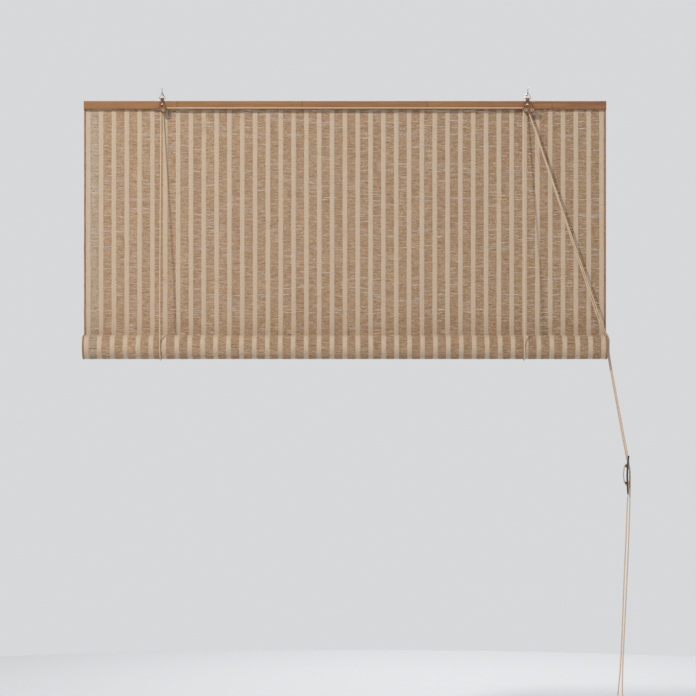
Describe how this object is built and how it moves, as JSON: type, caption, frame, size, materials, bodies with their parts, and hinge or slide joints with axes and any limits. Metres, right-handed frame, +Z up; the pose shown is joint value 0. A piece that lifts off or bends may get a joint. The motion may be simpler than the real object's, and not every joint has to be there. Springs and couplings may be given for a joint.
{
  "type": "jute roller blind",
  "caption": "Roll-up blind of striped jute cloth hung from two wall hooks, lifted by two cords over wheels, with its pull cords made fast on a wall cleat.",
  "frame": {"origin": "on the wall, midway between the two hooks' shanks and at their height", "axes": "+X to the viewer's right along the head, +Y into the wall, +Z up"},
  "size_m": [1.2588, 0.0978, 1.5012],
  "materials": {
    "bamboo": "split bamboo, stained, satin",
    "rod_wood": "plain turned wood, matt",
    "jute": "open jute weave with cream cotton stripes",
    "bronze": "bronzed brass plate, satin, rubbed edges",
    "rivet_brass": "pale plated brass, worn",
    "wheel_brass": "turned brass",
    "steel": "bright drawn wire",
    "cord": "braided cotton, matt",
    "black_iron": "black enamel, semi-gloss"
  },
  "bodies": {
    "head": {"front_slat": "bamboo", "back_slat": "bamboo", "slat_nails": "steel", "hanging_cloth": "jute", "left_bracket": "bronze", "left_bracket_back": "bronze", "right_bracket": "bronze", "right_bracket_back": "bronze", "bracket_screws": "steel", "wheel_rivets": "rivet_brass", "left_hanger_ring": "steel", "right_hanger_ring": "steel", "left_wall_hook": "steel", "right_wall_hook": "steel", "cleat": "black_iron", "cord_staples": "steel", "anchor_knots": "cord", "left_cord_back": "cord", "left_cord_front": "cord", "left_cord_along_head": "cord", "right_cord_back": "cord", "right_cord_front": "cord", "right_cord_over_wheel": "cord", "pull_cord_a_upper": "cord", "pull_cord_b_upper": "cord", "pull_cord_a_lower": "cord", "pull_cord_b_lower": "cord", "pull_cord_a_tail": "cord", "pull_cord_b_tail": "cord", "cord_coil": "cord", "cord_tie": "cord", "pull_cord_a_end": "cord", "pull_cord_b_end": "cord", "pull_cord_end_knot": "cord"},
    "carriage": {"left_cord_sling": "cord", "right_cord_sling": "cord"},
    "roll": {"rolled_cloth": "jute", "bottom_rod": "rod_wood"},
    "left_wheel": {"left_wheel": "wheel_brass"},
    "inner_wheel": {"inner_wheel": "wheel_brass"},
    "outer_wheel": {"outer_wheel": "wheel_brass"}
  },
  "joints": [
    {"name": "raise", "type": "slide", "parent": "head", "child": "carriage", "axis": [0, 0, 1], "range_m": [0, 0.49], "deforming": ["hanging_cloth", "left_cord_back", "right_cord_back", "left_cord_front", "right_cord_front", "pull_cord_a_upper", "pull_cord_b_upper", "pull_cord_a_lower", "pull_cord_b_lower"]},
    {"name": "roll_turn", "type": "hinge", "parent": "carriage", "child": "roll", "pos_m": [0, -0.0417, -0.581], "axis": [1, 0, 0], "range_deg": [-1024, 0]},
    {"name": "left_wheel_turn", "type": "hinge", "parent": "head", "child": "left_wheel", "pos_m": [-0.417, -0.0281, -0.0376], "axis": [0, 1, 0], "continuous": true},
    {"name": "inner_wheel_turn", "type": "hinge", "parent": "head", "child": "inner_wheel", "pos_m": [0.4149, -0.0281, -0.0376], "axis": [0, 1, 0], "continuous": true},
    {"name": "outer_wheel_turn", "type": "hinge", "parent": "head", "child": "outer_wheel", "pos_m": [0.4291, -0.0281, -0.0376], "axis": [0, 1, 0], "continuous": true}
  ],
  "couplings": [
    {"joint": "roll_turn", "follows": "raise", "rad_per_m": -35.714},
    {"joint": "left_wheel_turn", "follows": "raise", "rad_per_m": 392.16},
    {"joint": "inner_wheel_turn", "follows": "raise", "rad_per_m": 392.16}
  ]
}
